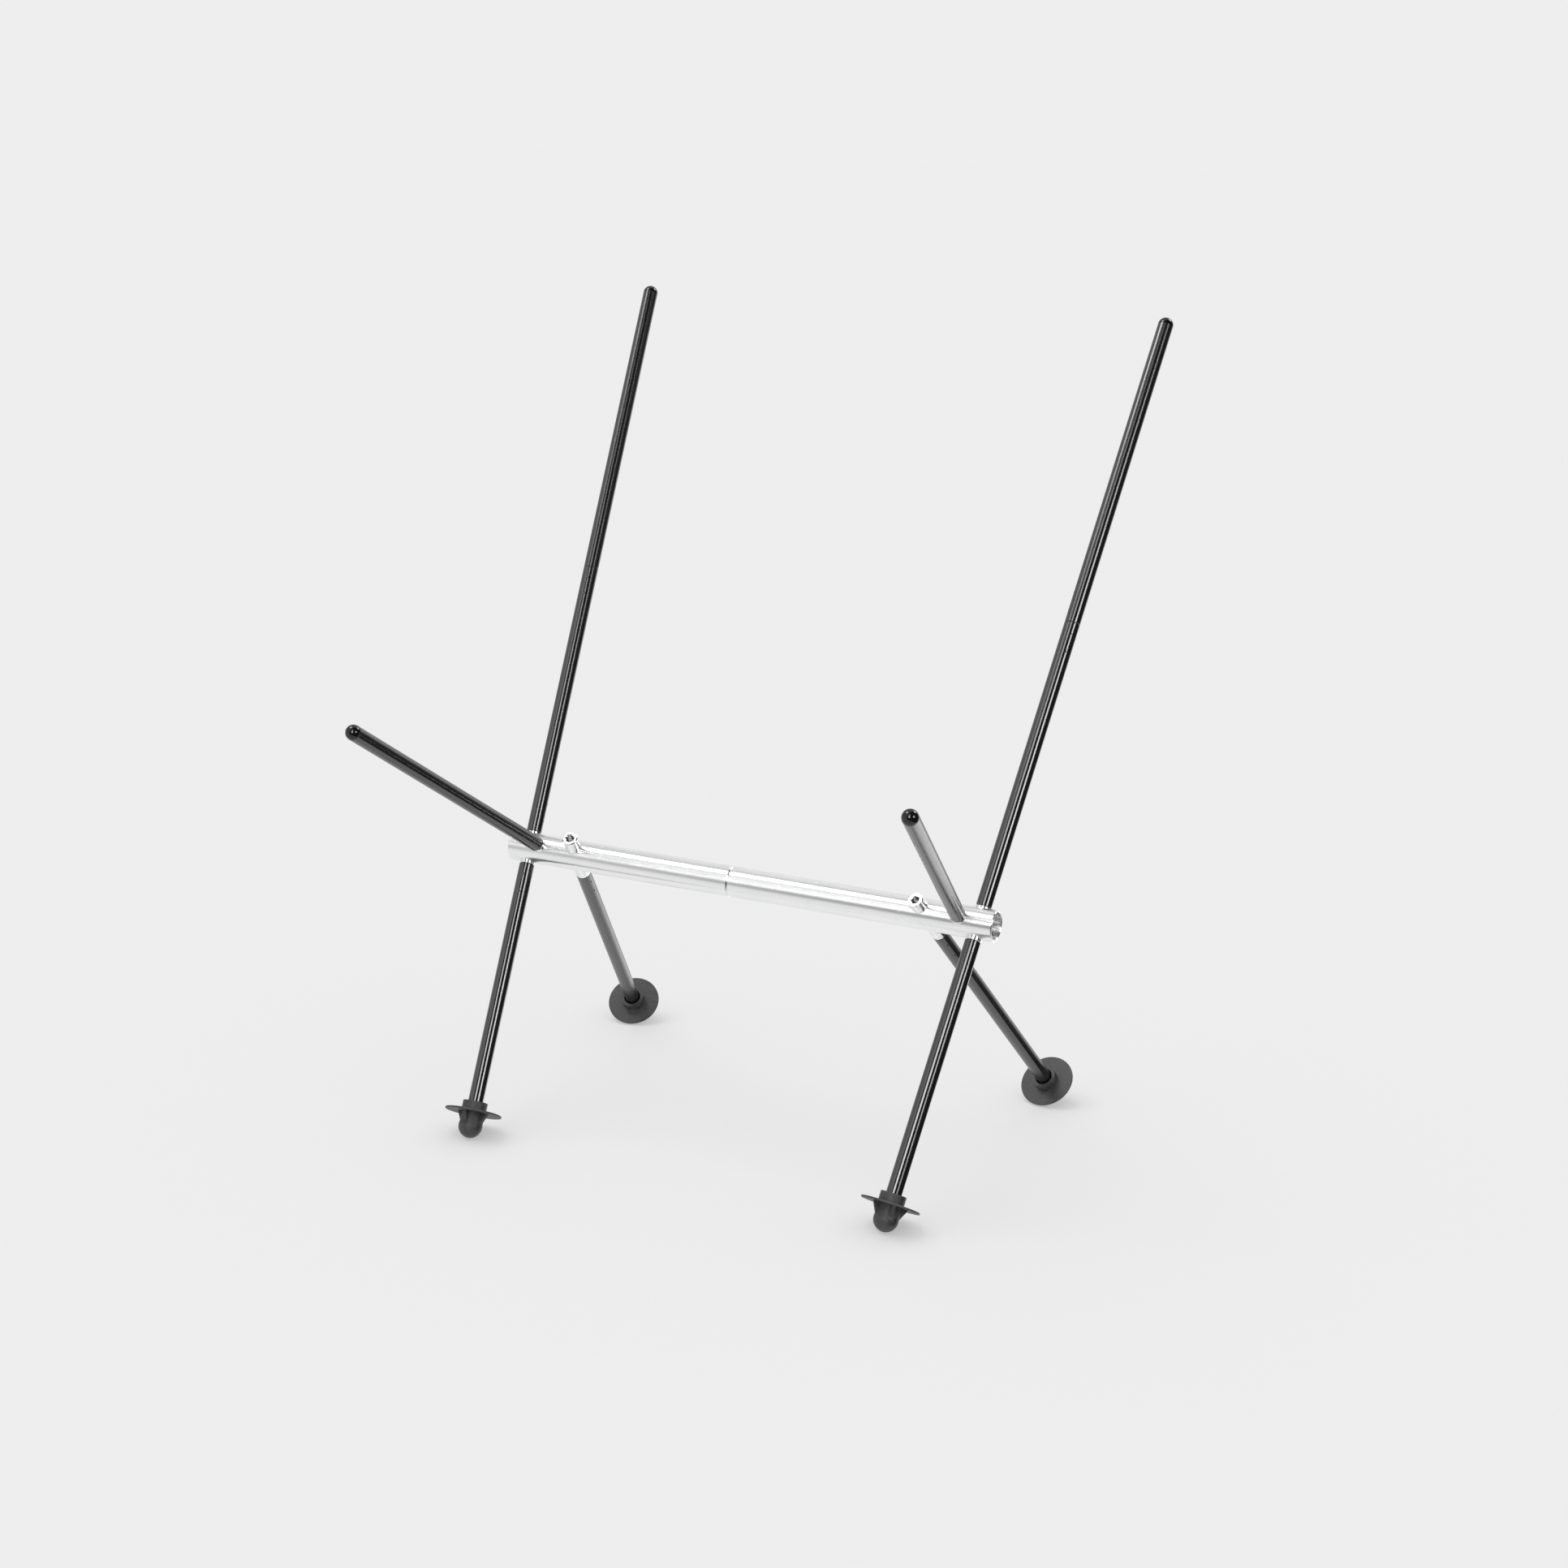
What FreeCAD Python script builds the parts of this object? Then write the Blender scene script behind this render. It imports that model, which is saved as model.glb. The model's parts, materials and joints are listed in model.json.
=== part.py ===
import FreeCAD, Part

import math
import os
from FreeCAD import Placement, Rotation, Vector

# Take-apart music stand: a two-piece aluminium crossbar carried on four black legs, with two leaning
# uprights behind the music and two ledge arms in front of it.  Every rod screws into an M6 bushing that
# crosses the bar.  Millimetres, +Z up, X along the crossbar, the player at -Y, the floor at Z = 0.

# ---- crossbar -------------------------------------------------------------------------------------
TUBE_OD = 20.0
TUBE_WALL = 1.5
CROSSBAR_LENGTH = 344.0
JOINT_X = -9.0              # the two bar halves meet a little left of the middle
JOINT_BEVEL = 0.7
MOUTH_BEVEL = 0.5

# ---- rods and their M6 threads (drawn at the thread's running fit) ----------------------------------
ROD_OD = 10.0
ROD_WALL = 1.5
ROD_END_BEVEL = 0.35
THREAD_HOLE_R = 2.5
THREAD_CREST_R = 2.45
THREAD_ROOT_R = 2.05
THREAD_PITCH = 1.0
THREAD_RISE = 0.15          # shares of the pitch at which a thread's ring rises, crests, falls and ends
THREAD_CREST = 0.5
THREAD_FALL = 0.65
THREAD_LEAD = 2.0           # pitches left plain at the thread's far end
STUD_LENGTH = 9.0
TAPPED_DEPTH = 10.0         # every tapped hole that takes a stud is this deep
SPARE_TAPPED_DEPTH = 15.0   # the open hole in the rear bushing's head
INSERT_DEPTH = 26.0         # length of the threaded insert staked inside a rod's end
INSERT_BEVEL = 0.4
COUNTERSINK_R = 3.1
STAKE_DEPTH = 0.45
STAKE_R = 0.8
STAKE_PLACES = (8.0, 20.0)  # distances of the two stakes from the rod's joined end

# ---- how each rod and foot is turned about its own axis: degrees from its outer side, (right, left) ----
UPRIGHT_LOW_STAKES = (20.0, -15.0)
UPRIGHT_SEAM_STAKES = (-57.0, -108.0)
UPRIGHT_TOP_STAKES = (33.0, -18.0)
FRONT_LEG_STAKES = (61.0, 106.0)
REAR_LEG_STAKES = (42.0, 162.0)
LEDGE_ARM_STAKES = (90.0, -161.0)
FOOT_RIBS = (56.5, 85.5)

# ---- cross bushings: distances along the rod's axis, counted from the crossbar's axis ----------------
SEAT = 11.6                 # where a front leg or a ledge arm seats
UPRIGHT_SEAT = 10.8
REAR_SEAT = 22.9
REAR_BUSHING_HEADS = (17.0, 22.6)  # (right, left): it stands out of the bar's upper front
BUSHING_BEVEL = 0.5

# ---- where the members cross the bar, and how they lean (degrees) -----------------------------------
UPRIGHT_X = 160.0
LEDGE_X = 147.8
REAR_X = 124.8
UPRIGHT_LEAN = 31.1         # back from the vertical
UPRIGHT_SPLAY = 4.1         # outward, towards the top
LEDGE_RISE = 33.4           # up from the horizontal
LEDGE_SPLAY = 9.3
REAR_DROP = 46.6            # down from the horizontal
REAR_SPLAY = 9.5

# ---- lengths along each member, from the crossbar's axis ---------------------------------------------
UPRIGHT_SEAM = 200.6
UPRIGHT_TIP = 416.3
LEDGE_TIP = 211.0
FRONT_FLANGE = 179.2

# ---- rubber foot: heights along the leg are counted downwards from the middle of the flange ----------
FLANGE_R = 18.5
FLANGE_THICKNESS = 1.2
FLANGE_EDGE = 0.3
FLANGE_DROOP = 0.6
COLLAR_R = 8.1
COLLAR_HEIGHT = 6.2
COLLAR_BORE_R = 5.9         # the collar is open round the leg down to the flange
NECK_R = 6.9                # the body widens evenly from the neck to the nose
NOSE_R = 7.8
NOSE_CENTRE = 9.5
SOCKET_DEPTH = 4.5          # how far below the flange the leg's end stands in the foot
FIT_GAP = 0.05              # radial clearance of every running fit
GUSSET_REACH = 11.2
GUSSET_DROP = 9.0
GUSSET_THICKNESS = 2.5
GUSSETS = 4

# ---- hidden threaded joint in the middle of the crossbar ---------------------------------------------
JOINER_DEPTH = 24.0
SPIGOT_R = 5.95
SPIGOT_ROOT_R = 5.2
SPIGOT_BORE_R = 6.0
SPIGOT_LENGTH = 16.0
SPIGOT_PITCH = 1.5

# ---- domed plug that closes an open rod end ----------------------------------------------------------
PLUG_DEPTH = 12.0

TUBE_R = TUBE_OD / 2.0
TUBE_BORE_R = TUBE_R - TUBE_WALL
ROD_R = ROD_OD / 2.0
ROD_BORE_R = ROD_R - ROD_WALL
HALF_LENGTH = CROSSBAR_LENGTH / 2.0
Z_AXIS = Vector(0, 0, 1)
ORIGIN = Vector(0, 0, 0)


def direction(forward, up, out):
    """Unit vector that points out by `out` degrees and then forward (-Y) and up in the member's plane."""
    scale = math.cos(math.radians(out))
    return Vector(math.sin(math.radians(out)), -forward * scale, up * scale)


def sin_cos(degrees):
    return math.sin(math.radians(degrees)), math.cos(math.radians(degrees))


LEAN_SIN, LEAN_COS = sin_cos(UPRIGHT_LEAN)
RISE_SIN, RISE_COS = sin_cos(LEDGE_RISE)
DROP_SIN, DROP_COS = sin_cos(REAR_DROP)
UPRIGHT_WAY = direction(-LEAN_SIN, LEAN_COS, UPRIGHT_SPLAY)
FRONT_LEG_WAY = UPRIGHT_WAY * -1.0
LEDGE_WAY = direction(RISE_COS, RISE_SIN, LEDGE_SPLAY)
REAR_WAY = direction(-DROP_COS, -DROP_SIN, REAR_SPLAY)

# The front legs set the bar's height, and the rear legs are as long as that height asks for.
BAR_Z = NOSE_R - (FRONT_FLANGE + NOSE_CENTRE) * FRONT_LEG_WAY.z
REAR_FLANGE = (NOSE_R - BAR_Z) / REAR_WAY.z - NOSE_CENTRE

# The bar stands where the whole stand's box is centred on Y = 0.
TIP_BACK = (UPRIGHT_TIP - ROD_R) * UPRIGHT_WAY.y + ROD_R
TIP_FRONT = (LEDGE_TIP - ROD_R) * LEDGE_WAY.y - ROD_R
BAR_Y = -(TIP_BACK + TIP_FRONT) / 2.0


def cylinder(radius, start, end):
    return Part.makeCylinder(radius, end - start, Vector(0, 0, start), Z_AXIS)


def turned(profile):
    """Solid turned about Z from an outline of (radius, height) points."""
    edges = []
    for first, last in zip(profile, profile[1:]):
        if first != last:
            edges.append(Part.makeLine(Vector(first[0], 0, first[1]), Vector(last[0], 0, last[1])))
    edges.append(Part.makeLine(edges[-1].Vertexes[-1].Point, edges[0].Vertexes[0].Point))
    return Part.Face(Part.Wire(edges)).revolve(ORIGIN, Z_AXIS, 360)


def bevelled_bar(radius, start, end, bevel_start, bevel_end):
    profile = [
        (0, start),
        (radius - bevel_start, start),
        (radius, start + bevel_start),
        (radius, end - bevel_end),
        (radius - bevel_end, end),
        (0, end),
    ]
    return turned(profile)


def threaded_bar(crest, root, start, end, pitch):
    """Bar with a ring-shaped V thread from start to end, and a plain lead at the far end."""
    profile = [(0, start), (root, start)]
    height = start
    while height + THREAD_LEAD * pitch < end:
        profile.append((root, height + THREAD_RISE * pitch))
        profile.append((crest, height + THREAD_CREST * pitch))
        profile.append((crest, height + THREAD_FALL * pitch))
        profile.append((root, height + pitch))
        height += pitch
    profile.append((root, end))
    profile.append((0, end))
    return turned(profile)


def tapped_hole(mouth, depth):
    """Cutter for a blind threaded hole, countersunk at its mouth; it runs down the axis from there."""
    sink = COUNTERSINK_R - THREAD_HOLE_R
    profile = [
        (0, mouth),
        (COUNTERSINK_R, mouth),
        (THREAD_HOLE_R, mouth - sink),
        (THREAD_HOLE_R, mouth - depth),
        (0, mouth - depth),
    ]
    return turned(profile)


def tapped_hole_below(mouth, depth):
    """The same cutter for a mouth that faces down the axis."""
    hole = tapped_hole(-mouth, depth)
    hole.rotate(ORIGIN, Vector(1, 0, 0), 180)
    return hole


def placement_on_bar(bar_x, way):
    """Place a member's own +Z along `way`, from the crossbar's axis, with its X kept level and outward."""
    outward = Vector(1, 0, 0)
    sideways = way.cross(outward)
    turn = Rotation(sideways.cross(way), sideways, way, "ZXY")
    return Placement(Vector(bar_x, BAR_Y, BAR_Z), turn)


def placed(shape, bar_x, way):
    copy = shape.copy()
    copy.Placement = placement_on_bar(bar_x, way).multiply(copy.Placement)
    return copy


def mirrored(shape):
    return shape.mirror(ORIGIN, Vector(1, 0, 0))


def stake_marks(end, inward, turn):
    """Small cones pressed into opposite sides of the rod, which lock the insert in its end."""
    sine, cosine = sin_cos(turn)
    marks = []
    for distance in STAKE_PLACES:
        for way in (Vector(cosine, sine, 0), Vector(-cosine, -sine, 0)):
            tip = way * (ROD_R - STAKE_DEPTH) + Z_AXIS * (end + inward * distance)
            outer = STAKE_DEPTH + STAKE_R / 2.0
            wide = STAKE_R * outer / STAKE_DEPTH
            marks.append(Part.makeCone(0, wide, outer, tip, way))
    return marks


def rod_tube(start, end, staked_ends):
    """Black tube; each staked end is (place, which way the rod runs from it, turn of its marks)."""
    outside = bevelled_bar(ROD_R, start, end, ROD_END_BEVEL, ROD_END_BEVEL)
    tube = outside.cut(cylinder(ROD_BORE_R, start, end))
    for place, inward, turn in staked_ends:
        for mark in stake_marks(place, inward, turn):
            tube = tube.cut(mark)
    return tube


def stud_insert(seat):
    """Steel insert inside a rod's end, with the M6 stud that screws into the piece below the seat."""
    plug = bevelled_bar(ROD_BORE_R, seat, seat + INSERT_DEPTH, 0, INSERT_BEVEL)
    stud = threaded_bar(THREAD_CREST_R, THREAD_ROOT_R, -STUD_LENGTH, 0, THREAD_PITCH)
    stud.translate(Vector(0, 0, seat))
    return plug.fuse(stud).removeSplitter()


def socket_insert(seat):
    """Steel insert inside a rod's far end, tapped for the stud of the rod that follows it."""
    plug = bevelled_bar(ROD_BORE_R, seat - INSERT_DEPTH, seat, INSERT_BEVEL, 0)
    return plug.cut(tapped_hole(seat, TAPPED_DEPTH))


def domed_plug(tip):
    """Plug pressed into a rod's open end, with a half-round head as wide as the rod."""
    base = tip - ROD_R
    head = Part.makeSphere(ROD_R, Vector(0, 0, base), Z_AXIS, 0, 90, 360)
    stem = bevelled_bar(ROD_BORE_R, base - PLUG_DEPTH, base, INSERT_BEVEL, 0)
    return head.fuse(stem).removeSplitter()


def foot(flange, ribs_turn):
    """Rubber foot on a leg, drawn with its flange's middle at `flange` along the leg."""
    top = -COLLAR_HEIGHT
    rim = FLANGE_THICKNESS / 2.0
    body = cylinder(COLLAR_R, top, 0)
    body = body.fuse(Part.makeCone(NECK_R, NOSE_R, NOSE_CENTRE))
    body = body.fuse(Part.makeSphere(NOSE_R, Vector(0, 0, NOSE_CENTRE)))
    body = body.fuse(
        turned([
            (0, -rim),
            (COLLAR_R, -rim),
            (FLANGE_R - FLANGE_EDGE, -rim + FLANGE_DROOP),
            (FLANGE_R, -rim + FLANGE_EDGE + FLANGE_DROOP),
            (FLANGE_R, rim - FLANGE_EDGE + FLANGE_DROOP),
            (FLANGE_R - FLANGE_EDGE, rim + FLANGE_DROOP),
            (COLLAR_R, rim),
            (0, rim),
        ])
    )
    outline = [
        Vector(0, 0, 0),
        Vector(GUSSET_REACH, 0, 0),
        Vector(GUSSET_REACH, 0, rim),
        Vector(NECK_R, 0, GUSSET_DROP),
        Vector(0, 0, GUSSET_DROP),
        Vector(0, 0, 0),
    ]
    gusset = Part.Face(Part.makePolygon(outline)).extrude(Vector(0, GUSSET_THICKNESS, 0))
    gusset.translate(Vector(0, -GUSSET_THICKNESS / 2.0, 0))
    for number in range(GUSSETS):
        rib = gusset.copy()
        rib.rotate(ORIGIN, Z_AXIS, ribs_turn + number * 360.0 / GUSSETS)
        body = body.fuse(rib)
    body = body.removeSplitter()
    body = body.cut(cylinder(ROD_R + FIT_GAP, top, SOCKET_DEPTH))
    body = body.cut(cylinder(COLLAR_BORE_R, top, 0))
    body.translate(Vector(0, 0, flange))
    return body


def bushing(head, seat, head_hole_depth):
    """Turned bushing through both walls of the bar, from -head to the seat, tapped from each end."""
    outside = bevelled_bar(ROD_R, -head, seat, BUSHING_BEVEL, BUSHING_BEVEL)
    tapped = outside.cut(tapped_hole(seat, TAPPED_DEPTH))
    return tapped.cut(tapped_hole_below(-head, head_hole_depth))


def members(side):
    """One side's pieces, each in its member's frame: +Z along the member, 0 on the crossbar's axis.

    `side` is 0 for the right and 1 for the left, which is drawn as the right and mirrored later.
    Each entry is node name: (shape, place on the bar, direction).
    """
    low_end = (UPRIGHT_SEAT, 1, UPRIGHT_LOW_STAKES[side])
    seam_end = (UPRIGHT_SEAM, -1, UPRIGHT_SEAM_STAKES[side])
    upright_lower = rod_tube(UPRIGHT_SEAT, UPRIGHT_SEAM, [low_end, seam_end])
    top_end = (UPRIGHT_SEAM, 1, UPRIGHT_TOP_STAKES[side])
    upright_upper = rod_tube(UPRIGHT_SEAM, UPRIGHT_TIP - ROD_R, [top_end])
    front_leg = rod_tube(SEAT, FRONT_FLANGE + SOCKET_DEPTH, [(SEAT, 1, FRONT_LEG_STAKES[side])])
    rear_leg = rod_tube(REAR_SEAT, REAR_FLANGE + SOCKET_DEPTH, [(REAR_SEAT, 1, REAR_LEG_STAKES[side])])
    ledge_arm = rod_tube(SEAT, LEDGE_TIP - ROD_R, [(SEAT, 1, LEDGE_ARM_STAKES[side])])
    upright_bushing = bushing(SEAT, UPRIGHT_SEAT, TAPPED_DEPTH)
    ledge_bushing = bushing(SEAT, SEAT, TAPPED_DEPTH)
    rear_bushing = bushing(REAR_BUSHING_HEADS[side], REAR_SEAT, SPARE_TAPPED_DEPTH)
    return {
        "upright_bushing": (upright_bushing, UPRIGHT_X, UPRIGHT_WAY),
        "upright_lower": (upright_lower, UPRIGHT_X, UPRIGHT_WAY),
        "upright_lower_stud": (stud_insert(UPRIGHT_SEAT), UPRIGHT_X, UPRIGHT_WAY),
        "upright_lower_socket": (socket_insert(UPRIGHT_SEAM), UPRIGHT_X, UPRIGHT_WAY),
        "upright_upper": (upright_upper, UPRIGHT_X, UPRIGHT_WAY),
        "upright_upper_stud": (stud_insert(UPRIGHT_SEAM), UPRIGHT_X, UPRIGHT_WAY),
        "upright_end_plug": (domed_plug(UPRIGHT_TIP), UPRIGHT_X, UPRIGHT_WAY),
        "front_leg": (front_leg, UPRIGHT_X, FRONT_LEG_WAY),
        "front_leg_stud": (stud_insert(SEAT), UPRIGHT_X, FRONT_LEG_WAY),
        "front_foot": (foot(FRONT_FLANGE, FOOT_RIBS[side]), UPRIGHT_X, FRONT_LEG_WAY),
        "rear_bushing": (rear_bushing, REAR_X, REAR_WAY),
        "rear_leg": (rear_leg, REAR_X, REAR_WAY),
        "rear_leg_stud": (stud_insert(REAR_SEAT), REAR_X, REAR_WAY),
        "rear_foot": (foot(REAR_FLANGE, FOOT_RIBS[side]), REAR_X, REAR_WAY),
        "ledge_bushing": (ledge_bushing, LEDGE_X, LEDGE_WAY),
        "ledge_arm": (ledge_arm, LEDGE_X, LEDGE_WAY),
        "ledge_arm_stud": (stud_insert(SEAT), LEDGE_X, LEDGE_WAY),
        "ledge_end_plug": (domed_plug(LEDGE_TIP), LEDGE_X, LEDGE_WAY),
    }


def along_bar(shape):
    """Turn a shape drawn along Z so that it lies on the crossbar's axis, with its Z along +X."""
    copy = shape.copy()
    copy.Placement = Placement(Vector(0, BAR_Y, BAR_Z), Rotation(Z_AXIS, Vector(1, 0, 0)))
    return copy


def bar_tube(start, end, bevel_start, bevel_end):
    outside = bevelled_bar(TUBE_R, start, end, bevel_start, bevel_end)
    return outside.cut(cylinder(TUBE_BORE_R, start, end))


def mouth_cutter(end, inward):
    """Cone that opens the bar's inner edge at its outer end."""
    wide = TUBE_BORE_R + MOUTH_BEVEL
    return Part.makeCone(wide, TUBE_BORE_R, MOUTH_BEVEL, Vector(0, 0, end), Vector(0, 0, inward))


def crossbar():
    left = bar_tube(-HALF_LENGTH, JOINT_X, MOUTH_BEVEL, JOINT_BEVEL)
    left = along_bar(left.cut(mouth_cutter(-HALF_LENGTH, 1)))
    right = bar_tube(JOINT_X, HALF_LENGTH, JOINT_BEVEL, MOUTH_BEVEL)
    right = along_bar(right.cut(mouth_cutter(HALF_LENGTH, -1)))
    holes = []
    for bar_x, way in ((UPRIGHT_X, UPRIGHT_WAY), (LEDGE_X, LEDGE_WAY), (REAR_X, REAR_WAY)):
        holes.append(placed(cylinder(ROD_R, -TUBE_OD, TUBE_OD), bar_x, way))
    for hole in holes:
        right = right.cut(hole)
        left = left.cut(mirrored(hole))
    plug = bevelled_bar(TUBE_BORE_R, JOINT_X - JOINER_DEPTH, JOINT_X, INSERT_BEVEL, INSERT_BEVEL)
    spigot = threaded_bar(SPIGOT_R, SPIGOT_ROOT_R, JOINT_X, JOINT_X + SPIGOT_LENGTH, SPIGOT_PITCH)
    sleeve = bevelled_bar(TUBE_BORE_R, JOINT_X, JOINT_X + JOINER_DEPTH, INSERT_BEVEL, INSERT_BEVEL)
    bore = cylinder(SPIGOT_BORE_R, JOINT_X, JOINT_X + JOINER_DEPTH)
    return {
        "crossbar_left": left,
        "crossbar_right": right,
        "crossbar_joining_stud": along_bar(plug.fuse(spigot).removeSplitter()),
        "crossbar_joining_sleeve": along_bar(sleeve.cut(bore)),
    }


def export(name, shape):
    solids = shape.Solids
    if len(solids) != 1 or not shape.isValid():
        raise RuntimeError(f"{name}: {len(solids)} solids, valid {shape.isValid()}")
    solids[0].exportStep(f"parts/{name}.step")


def main():
    os.makedirs("parts", exist_ok=True)
    for name, shape in crossbar().items():
        export(name, shape)
    for name, (shape, bar_x, way) in members(0).items():
        export(f"right_{name}", placed(shape, bar_x, way))
    for name, (shape, bar_x, way) in members(1).items():
        export(f"left_{name}", mirrored(placed(shape, bar_x, way)))


main()
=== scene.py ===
import json
import math

import bpy
from mathutils import Matrix, Vector

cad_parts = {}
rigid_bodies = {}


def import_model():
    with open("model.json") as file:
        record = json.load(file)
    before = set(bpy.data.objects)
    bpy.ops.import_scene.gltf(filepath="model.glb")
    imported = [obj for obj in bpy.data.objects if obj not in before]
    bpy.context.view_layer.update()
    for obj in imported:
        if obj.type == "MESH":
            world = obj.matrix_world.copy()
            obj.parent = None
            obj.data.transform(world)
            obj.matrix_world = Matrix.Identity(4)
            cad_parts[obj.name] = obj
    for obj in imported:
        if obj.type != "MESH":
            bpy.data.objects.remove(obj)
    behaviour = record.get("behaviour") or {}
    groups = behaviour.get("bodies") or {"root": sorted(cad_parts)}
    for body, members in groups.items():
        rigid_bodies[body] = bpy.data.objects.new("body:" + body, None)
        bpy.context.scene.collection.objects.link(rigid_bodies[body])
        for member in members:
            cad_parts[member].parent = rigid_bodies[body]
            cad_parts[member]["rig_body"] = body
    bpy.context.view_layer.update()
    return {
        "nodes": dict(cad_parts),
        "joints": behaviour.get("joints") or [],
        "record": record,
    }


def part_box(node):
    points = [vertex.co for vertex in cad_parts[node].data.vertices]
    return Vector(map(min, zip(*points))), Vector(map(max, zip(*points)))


# ---- the camera, in degrees, metres and millimetres of lens --------------------------------------
CAMERA_AZIMUTH = 25.19      # from the stand's front towards its right
CAMERA_ELEVATION = 15.04
CAMERA_ROLL = 1.57
CAMERA_DISTANCE = 1.5858
CAMERA_HEIGHT_OF_AIM = 0.2387
CAMERA_SIDE_OF_AIM = 0.0253
CAMERA_SEES_TO = 100.0
SENSOR_MM = 36.0
LENS_MM = 57.85

# ---- the floor and the even light that dull surfaces get -----------------------------------------
FLOOR_HALF_SIZE = 30.0
FLOOR_ALBEDO = 0.45
FLOOR_GLOW = 0.37           # the floor gives off some light of its own, which keeps shadows faint
BACKDROP_LEVEL = 0.855
ROOM_LEVEL = 0.84
SUN_WATTS = 0.8
SUN_ANGLE = 45.0
SUN_TOWARDS = (0.45, 0.10, -1.0)

# ---- the room that glossy surfaces see, by direction; a level of 1 is white ----------------------
BRIGHT_SIDE = (-0.883, 0.469, 0.0)
SIDE_SPAN = (-0.5, 1.0)
SIDE_LEVELS = (             # how far towards the bright side, level
    (-0.13, 0.03),
    (-0.075, 0.60),
    (0.0, 0.84),
    (0.10, 0.98),
    (0.32, 0.96),
    (0.5, 0.72),
    (1.0, 0.62),
)
DARK_LINES = (              # normal of a plane through the stand, half width, share of light left
    ((0.0, 0.987, -0.16), 0.10, 0.40),
    ((0.0, 0.695, 0.719), 0.035, 0.55),
)
DARK_LINE_SPAN = (0.5, 0.6)         # the dark lines run overhead and fade in between these heights
BEYOND_SPAN = (0.60, 0.80)          # the pale backdrop behind the stand, met at a glance
TABLE_WAY = (-0.44, -0.12, -1.0)    # the lit floor below, whose edge is nearer on the dark side
TABLE_SPAN = (0.32, 0.44)
TABLE_LEVEL = 0.85
GLOW_WAY = (0.15, 0.82, -0.55)      # a brighter patch of floor behind the stand
GLOW_SPAN = (0.90, 0.98)
GLOW_LEVEL = 2.0

# ---- round lamps that show only as highlights ----------------------------------------------------
LAMPS = (                   # azimuth, elevation, share of the full power
    (11.7, 21.5, 1.0),
    (11.4, 41.6, 0.5),
    (69.8, 21.8, 1.0),
    (-74.0, 58.7, 1.0),
    (148.0, 41.8, 1.0),
)
LAMP_AIM_HEIGHT = 0.25
LAMP_DISTANCE = 3.0
LAMP_WIDTH = 1.2
LAMP_WATTS = 30.0

# ---- how fine the marks of making are, in metres -------------------------------------------------
LATHE_PITCH = 0.00025
X_AXIS = Vector((1.0, 0.0, 0.0))

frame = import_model()


# ---- the camera ----------------------------------------------------------------------------------
def camera_axes():
    """The directions to the picture's right, up the picture and into it."""
    azimuth = math.radians(CAMERA_AZIMUTH)
    elevation = math.radians(CAMERA_ELEVATION)
    roll = math.radians(CAMERA_ROLL)
    ahead = Vector((
        -math.sin(azimuth) * math.cos(elevation),
        math.cos(azimuth) * math.cos(elevation),
        -math.sin(elevation),
    ))
    level_right = Vector((math.cos(azimuth), math.sin(azimuth), 0.0))
    level_up = level_right.cross(ahead)
    right = level_right * math.cos(roll) + level_up * math.sin(roll)
    up = level_up * math.cos(roll) - level_right * math.sin(roll)
    return right, up, ahead


def make_camera():
    """Aims the camera at a point above or below the crossbar's line."""
    bar_low, bar_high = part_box("crossbar_left")
    bar_centre = (bar_low + bar_high) / 2.0
    right, up, ahead = camera_axes()
    aim = Vector((CAMERA_SIDE_OF_AIM, bar_centre.y, CAMERA_HEIGHT_OF_AIM))
    place = aim - ahead * CAMERA_DISTANCE
    data = bpy.data.cameras.new("camera")
    data.sensor_width = SENSOR_MM
    data.lens = LENS_MM
    data.clip_end = CAMERA_SEES_TO
    camera = bpy.data.objects.new("camera", data)
    camera.matrix_world = Matrix((
        (right.x, up.x, -ahead.x, place.x),
        (right.y, up.y, -ahead.y, place.y),
        (right.z, up.z, -ahead.z, place.z),
        (0.0, 0.0, 0.0, 1.0),
    ))
    bpy.context.scene.collection.objects.link(camera)
    bpy.context.scene.camera = camera


# ---- short calls for shader nodes ----------------------------------------------------------------
class Nodes:
    """One node tree, with one short call for each kind of node that is used here."""

    def __init__(self, tree, coordinates):
        self.tree = tree
        self.place = self.new("TexCoord").outputs[coordinates]

    def new(self, kind):
        return self.tree.nodes.new("ShaderNode" + kind)

    def fill(self, socket, value):
        if isinstance(value, bpy.types.NodeSocket):
            self.tree.links.new(value, socket)
        else:
            socket.default_value = value

    def math(self, operation, first, second=0.0):
        node = self.new("Math")
        node.operation = operation
        self.fill(node.inputs[0], first)
        self.fill(node.inputs[1], second)
        return node.outputs[0]

    def vector_math(self, operation, first, second):
        node = self.new("VectorMath")
        node.operation = operation
        self.fill(node.inputs[0], first)
        self.fill(node.inputs[1], second)
        return node

    def along(self, axis):
        """How far the shaded point, or the direction of view in a world, lies along an axis."""
        return self.vector_math("DOT_PRODUCT", self.place, tuple(axis)).outputs["Value"]

    def ramp(self, value, span, levels=(0.0, 1.0), kind="LINEAR"):
        """Maps value from the span to the levels, clamped."""
        node = self.new("MapRange")
        node.interpolation_type = kind
        self.fill(node.inputs["Value"], value)
        for name, number in zip(("From Min", "From Max", "To Min", "To Max"), (*span, *levels)):
            node.inputs[name].default_value = number
        return node.outputs["Result"]

    def soft_ramp(self, value, span, levels=(0.0, 1.0)):
        return self.ramp(value, span, levels, "SMOOTHSTEP")


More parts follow.
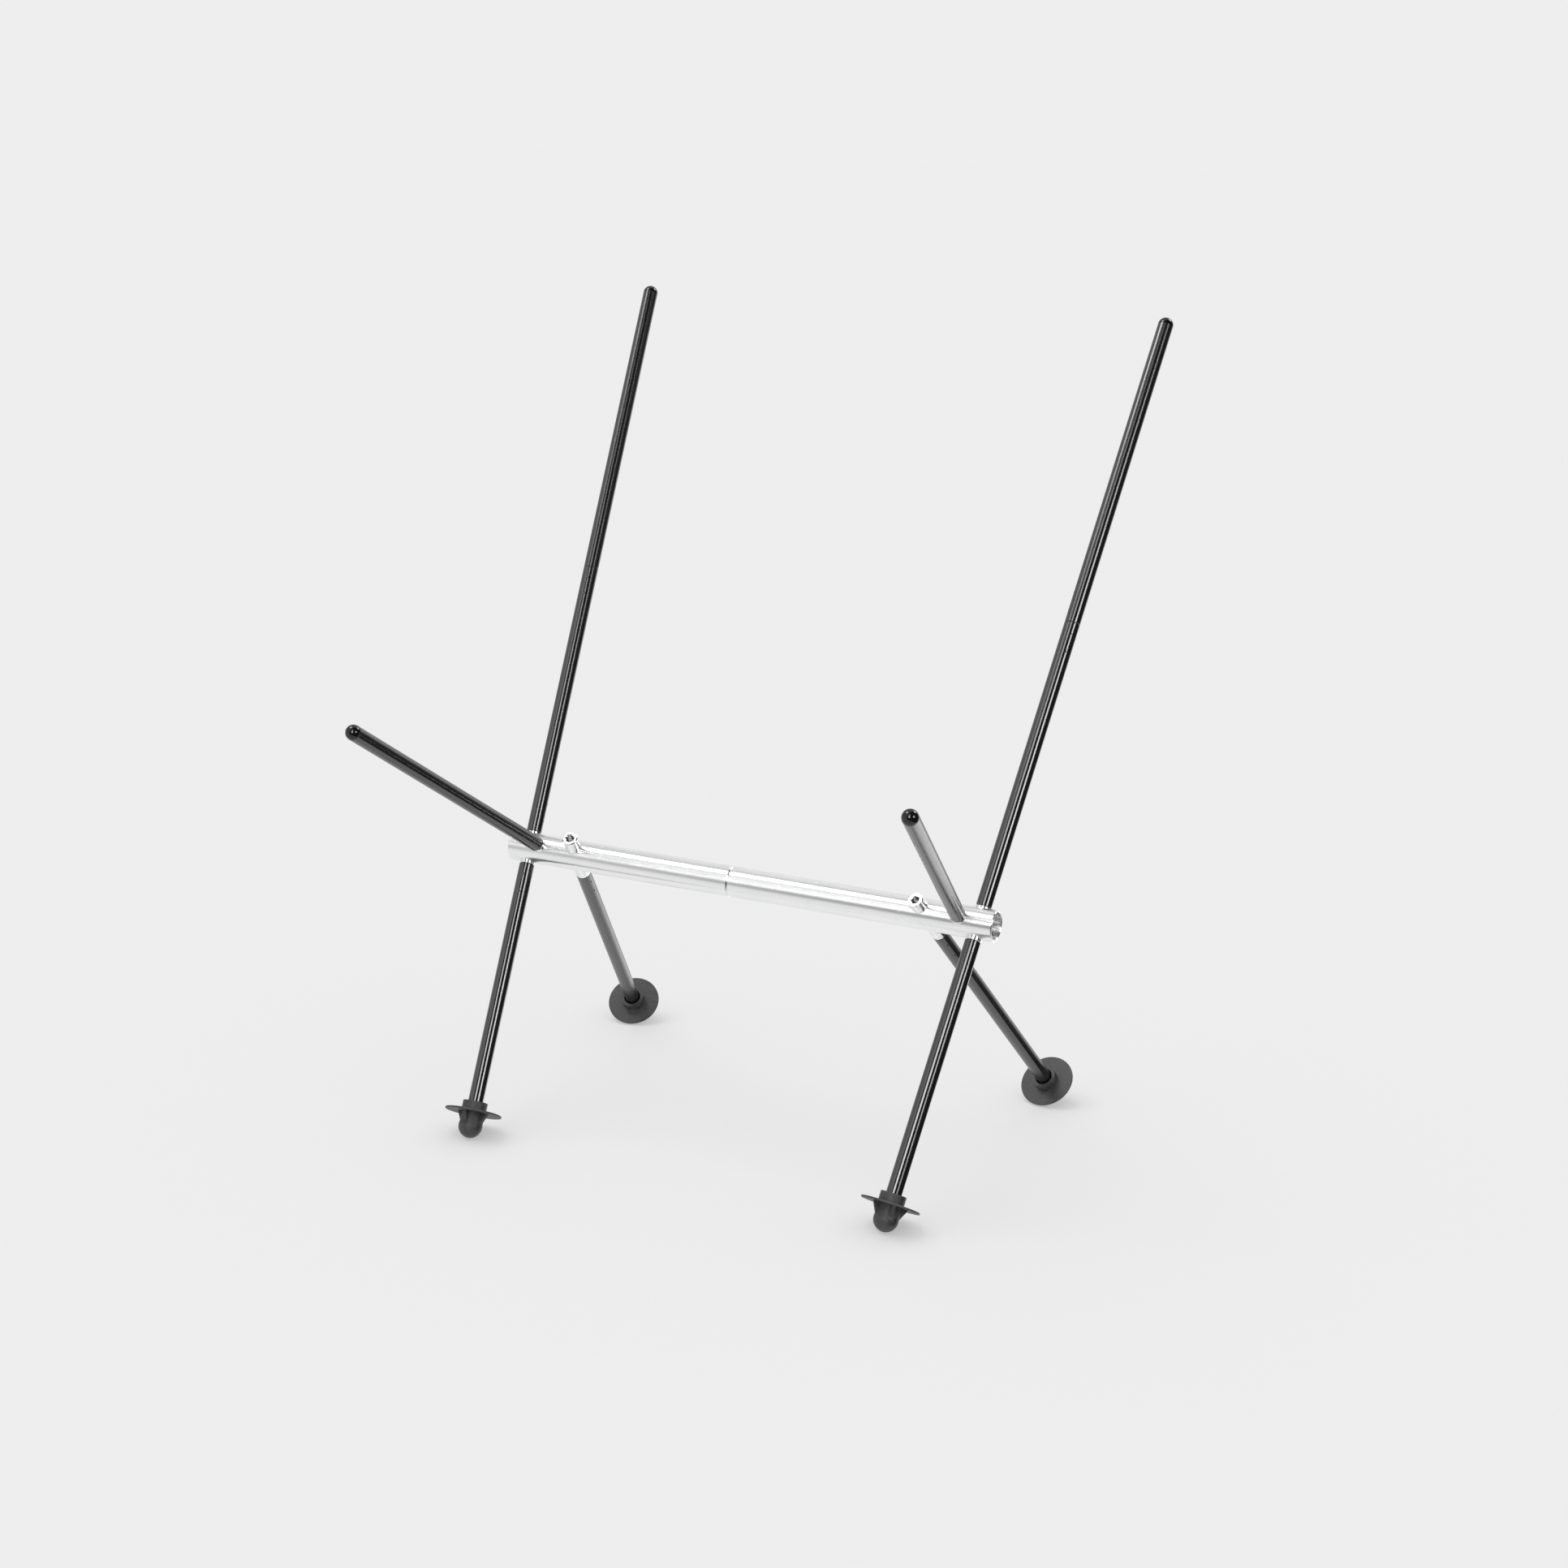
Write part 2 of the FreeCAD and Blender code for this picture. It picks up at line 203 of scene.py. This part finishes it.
class Surface(Nodes):
    """A new material and its shader."""

    def __init__(self, name):
        self.material = bpy.data.materials.new(name)
        self.material.use_nodes = True
        super().__init__(self.material.node_tree, "Object")
        self.shader = self.tree.nodes["Principled BSDF"]

    def set(self, **values):
        """Sets constants on the shader's own sockets."""
        for name, value in values.items():
            self.shader.inputs[name.replace("_", " ")].default_value = value

    def connect(self, name, source):
        self.fill(self.shader.inputs[name], source)

    def stretched(self, axis, keep):
        """The shaded point with its part along the axis scaled by `keep`, so that noise runs lengthwise."""
        scale = self.new("VectorMath")
        scale.operation = "SCALE"
        scale.inputs[0].default_value = tuple(axis)
        self.fill(scale.inputs["Scale"], self.math("MULTIPLY", self.along(axis), 1.0 - keep))
        return self.vector_math("SUBTRACT", self.place, scale.outputs[0]).outputs[0]

    def grain_across(self, axis):
        """Lets highlights run out along the axis, as a grain that goes round it does."""
        node = self.new("CombineXYZ")
        for socket, value in zip(node.inputs, axis):
            socket.default_value = value
        self.connect("Tangent", node.outputs[0])

    def noise(self, scale, detail=3.0, where=None, roughness=0.5):
        node = self.new("TexNoise")
        node.inputs["Scale"].default_value = scale
        node.inputs["Detail"].default_value = detail
        node.inputs["Roughness"].default_value = roughness
        self.fill(node.inputs["Vector"], where or self.place)
        return node.outputs["Fac"]

    def mix(self, amount, first, second):
        node = self.new("Mix")
        node.data_type = "RGBA"
        self.fill(node.inputs["Factor"], amount)
        self.fill(node.inputs["A"], first)
        self.fill(node.inputs["B"], second)
        return node.outputs["Result"]

    def bump(self, height, distance, strength):
        """Raises the surface by the height, at most by the distance in metres."""
        node = self.new("Bump")
        node.inputs["Distance"].default_value = distance
        node.inputs["Strength"].default_value = strength
        self.fill(node.inputs["Height"], height)
        self.connect("Normal", node.outputs["Normal"])


def colour(red, green, blue):
    return (red, green, blue, 1.0)


def grey(level):
    return colour(level, level, level)


# ---- materials; noise scales are per metre -------------------------------------------------------
GLOSS_BLACK = colour(0.006, 0.006, 0.007)
DUST = colour(0.09, 0.09, 0.095)


def polished_tube(name, axis):
    """Drawn and polished aluminium: hairlines along the tube, a faint haze and a few handling marks."""
    surface = Surface(name)
    surface.set(Metallic=1.0, Anisotropic=0.9)
    surface.grain_across(axis)
    haze = surface.noise(60.0, 4.0)
    hairlines = surface.noise(9000.0, 2.0, surface.stretched(axis, 0.004))
    smudges = surface.ramp(surface.noise(130.0, 5.0), (0.58, 0.72))
    tone = surface.mix(surface.ramp(haze, (0.35, 0.7)), grey(0.905), colour(0.875, 0.88, 0.885))
    surface.connect("Base Color", tone)
    brushed = surface.ramp(hairlines, (0.3, 0.7), (0.24, 0.32))
    surface.connect("Roughness", surface.math("ADD", brushed, surface.math("MULTIPLY", smudges, 0.05)))
    surface.bump(hairlines, 0.00002, 0.30)
    return surface.material


def turned_bushing(name, axis):
    """Bright turned aluminium with the fine rings that the lathe tool leaves."""
    surface = Surface(name)
    surface.set(Metallic=1.0, Anisotropic=0.8)
    surface.grain_across(axis)
    wobble = surface.math("MULTIPLY", surface.noise(500.0), 2.0)
    turns = surface.math("MULTIPLY", surface.along(axis), 2.0 * math.pi / LATHE_PITCH)
    rings = surface.math("SINE", surface.math("ADD", turns, wobble))
    patches = surface.noise(300.0, 4.0)
    tone = surface.mix(surface.ramp(patches, (0.35, 0.7)), grey(0.92), colour(0.84, 0.845, 0.85))
    surface.connect("Base Color", tone)
    surface.connect("Roughness", surface.ramp(patches, (0.3, 0.7), (0.16, 0.26)))
    surface.bump(rings, 0.000004, 0.4)
    return surface.material


def black_rod(name, axis):
    """Blackened tube: glossy, with a ground grain round the rod, rub marks and specks of dust."""
    surface = Surface(name)
    surface.set(IOR=1.95, Anisotropic=0.9)
    surface.grain_across(axis)
    peel = surface.noise(900.0, 2.0)
    rubs = surface.noise(3500.0, 3.0, surface.stretched(axis, 0.03))
    dust = surface.ramp(surface.noise(2600.0, 1.0), (0.74, 0.80))
    surface.connect("Base Color", surface.mix(surface.math("MULTIPLY", dust, 0.35), GLOSS_BLACK, DUST))
    rubbed = surface.ramp(rubs, (0.35, 0.75), (0.16, 0.22))
    surface.connect("Roughness", surface.math("ADD", rubbed, surface.math("MULTIPLY", dust, 0.15)))
    surface.bump(peel, 0.00002, 0.15)
    return surface.material


def gloss_plug(name):
    """The rods' half-round heads: smooth gloss black."""
    surface = Surface(name)
    surface.set(IOR=1.5)
    peel = surface.noise(700.0, 2.0)
    dust = surface.ramp(surface.noise(2600.0, 1.0), (0.72, 0.80))
    surface.connect("Base Color", surface.mix(surface.math("MULTIPLY", dust, 0.3), GLOSS_BLACK, DUST))
    surface.connect("Roughness", surface.ramp(peel, (0.3, 0.7), (0.06, 0.12)))
    surface.bump(peel, 0.00001, 0.1)
    return surface.material


def moulded_rubber(name):
    """Black moulded rubber: a fine grain, a greyish bloom, paler scuffs and an uneven soft sheen."""
    surface = Surface(name)
    surface.set(IOR=1.5)
    grain = surface.noise(1800.0, 4.0, roughness=0.6)
    bloom = surface.noise(220.0, 5.0, roughness=0.6)
    scuffs = surface.ramp(surface.noise(620.0, 5.0, roughness=0.7), (0.56, 0.72), (0.0, 0.6))
    bloomed = surface.ramp(bloom, (0.35, 0.68))
    tone = surface.mix(bloomed, colour(0.026, 0.027, 0.027), colour(0.058, 0.059, 0.059))
    surface.connect("Base Color", surface.mix(scuffs, tone, colour(0.11, 0.11, 0.108)))
    surface.connect("Roughness", surface.ramp(bloom, (0.3, 0.7), (0.42, 0.62)))
    surface.bump(grain, 0.00015, 0.6)
    return surface.material


def zinc_steel(name):
    """Zinc-plated steel: slightly bluish, with a soft uneven sheen."""
    surface = Surface(name)
    surface.set(Metallic=1.0)
    patches = surface.noise(400.0, 4.0)
    surface.connect("Base Color", surface.mix(patches, colour(0.55, 0.57, 0.60), colour(0.72, 0.72, 0.70)))
    surface.connect("Roughness", surface.ramp(patches, (0.3, 0.7), (0.22, 0.38)))
    surface.bump(surface.noise(3000.0), 0.00002, 0.4)
    return surface.material


# ---- which material each CAD node gets -----------------------------------------------------------
MEMBER_OF_BUSHING = {"upright": "upright_lower", "rear": "rear_leg", "ledge": "ledge_arm"}


def finish_nodes():
    """One material for each finish; a grained one is made again for each axis that its grain follows."""
    axes = {joint["child"]: Vector(joint["axis"]) for joint in frame["joints"]}
    slots = {entry["node"]: entry["material_slot"] for entry in frame["record"]["subparts"]}
    steel = zinc_steel("zinc steel")
    plain = {
        "polished_aluminium": polished_tube("polished tube", X_AXIS),
        "foot_rubber": moulded_rubber("moulded rubber"),
        "black_plug": gloss_plug("gloss plug"),
    }
    grained = {}

    def with_grain(finish, make, member):
        name = f"{finish} {member}"
        if name not in grained:
            grained[name] = make(name, axes[member])
        return grained[name]

    for node, piece in frame["nodes"].items():
        slot = slots[node]
        if slot == "turned_aluminium":
            side, kind = node.split("_")[:2]
            material = with_grain("turned bushing", turned_bushing, f"{side}_{MEMBER_OF_BUSHING[kind]}")
        elif slot == "black_rod":
            material = with_grain("black rod", black_rod, piece["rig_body"])
        else:
            material = plain.get(slot, steel)
        piece.data.materials.clear()
        piece.data.materials.append(material)


# ---- the studio ----------------------------------------------------------------------------------
def make_floor():
    half = FLOOR_HALF_SIZE
    corners = [(-half, -half, 0), (half, -half, 0), (half, half, 0), (-half, half, 0)]
    mesh = bpy.data.meshes.new("floor")
    mesh.from_pydata(corners, [], [(0, 1, 2, 3)])
    floor = bpy.data.objects.new("floor", mesh)
    bpy.context.scene.collection.objects.link(floor)
    surface = Surface("pale floor")
    surface.set(Base_Color=grey(FLOOR_ALBEDO), Roughness=1.0, Specular_IOR_Level=0.0)
    surface.set(Emission_Color=grey(1.0), Emission_Strength=FLOOR_GLOW)
    mesh.materials.append(surface.material)
    floor.visible_glossy = False


def side_light(sky, side):
    """The level at each distance towards the bright side."""
    ramp = sky.new("ValToRGB")
    stops = ramp.color_ramp.elements
    while len(stops) < len(SIDE_LEVELS):
        stops.new(0.5)
    low, high = SIDE_SPAN
    for stop, (position, level) in zip(stops, SIDE_LEVELS):
        stop.position = (position - low) / (high - low)
        stop.color = grey(level)
    sky.fill(ramp.inputs[0], sky.ramp(side, SIDE_SPAN))
    return ramp.outputs[0]


def room_in_mirrors(sky):
    """The room that glossy surfaces see: a bright and a dark side, two dark lines, backdrop and floor."""
    level = side_light(sky, sky.along(BRIGHT_SIDE))
    above = sky.soft_ramp(sky.along((0.0, 0.0, 1.0)), DARK_LINE_SPAN)
    for normal, half_width, left in DARK_LINES:
        off = sky.math("ABSOLUTE", sky.along(normal))
        near = sky.soft_ramp(off, (0.0, half_width), (1.0, 0.0))
        loss = sky.math("MULTIPLY", sky.math("MULTIPLY", near, above), 1.0 - left)
        level = sky.math("MULTIPLY", level, sky.math("SUBTRACT", 1.0, loss))
    ahead = camera_axes()[2]
    glow_way = Vector(GLOW_WAY).normalized()
    for way, span, brightest in (
        (ahead, BEYOND_SPAN, BACKDROP_LEVEL),
        (TABLE_WAY, TABLE_SPAN, TABLE_LEVEL),
        (glow_way, GLOW_SPAN, GLOW_LEVEL),
    ):
        patch = sky.soft_ramp(sky.along(way), span, (0.0, brightest))
        level = sky.math("MAXIMUM", level, patch)
    return level


def background(sky, strength):
    node = sky.new("Background")
    node.inputs["Color"].default_value = grey(1.0)
    sky.fill(node.inputs["Strength"], strength)
    return node.outputs[0]


def pick(sky, question, otherwise, answer):
    node = sky.new("MixShader")
    for socket, value in zip(node.inputs, (question, otherwise, answer)):
        sky.fill(socket, value)
    return node.outputs[0]


def make_world():
    """An even pale room for dull surfaces and the backdrop, and the shaped room for glossy ones."""
    world = bpy.data.worlds.new("studio")
    world.use_nodes = True
    world.cycles.sampling_method = "NONE"
    world.node_tree.nodes.clear()
    sky = Nodes(world.node_tree, "Generated")
    rays = sky.new("LightPath").outputs
    even = background(sky, ROOM_LEVEL)
    shaped = background(sky, room_in_mirrors(sky))
    room = pick(sky, rays["Is Glossy Ray"], even, shaped)
    whole = pick(sky, rays["Is Camera Ray"], room, background(sky, BACKDROP_LEVEL))
    sky.fill(sky.new("OutputWorld").inputs[0], whole)
    bpy.context.scene.world = world


def add_lamp(name, data, place, towards):
    lamp = bpy.data.objects.new(name, data)
    lamp.location = place
    lamp.rotation_mode = "QUATERNION"
    lamp.rotation_quaternion = Vector(towards).to_track_quat("-Z", "Y")
    bpy.context.scene.collection.objects.link(lamp)
    return lamp


def make_sun():
    """Even soft light over the whole floor; it isn't seen as a disc in glossy surfaces."""
    data = bpy.data.lights.new("overhead", "SUN")
    data.energy = SUN_WATTS
    data.angle = math.radians(SUN_ANGLE)
    add_lamp("overhead", data, (0.0, 0.0, 1.0), SUN_TOWARDS).visible_glossy = False


def make_lamps():
    for number, (azimuth, elevation, share) in enumerate(LAMPS):
        turn = math.radians(azimuth)
        rise = math.radians(elevation)
        away = Vector((math.sin(turn) * math.cos(rise), -math.cos(turn) * math.cos(rise), math.sin(rise)))
        data = bpy.data.lights.new(f"round lamp {number}", "AREA")
        data.shape = "DISK"
        data.size = LAMP_WIDTH
        data.energy = LAMP_WATTS * share
        place = Vector((0.0, 0.0, LAMP_AIM_HEIGHT)) + away * LAMP_DISTANCE
        lamp = add_lamp(f"round_lamp_{number}", data, place, -away)
        lamp.visible_diffuse = False
        lamp.visible_camera = False


bpy.context.scene.view_settings.view_transform = "Standard"
make_camera()
finish_nodes()
make_floor()
make_world()
make_sun()
make_lamps()
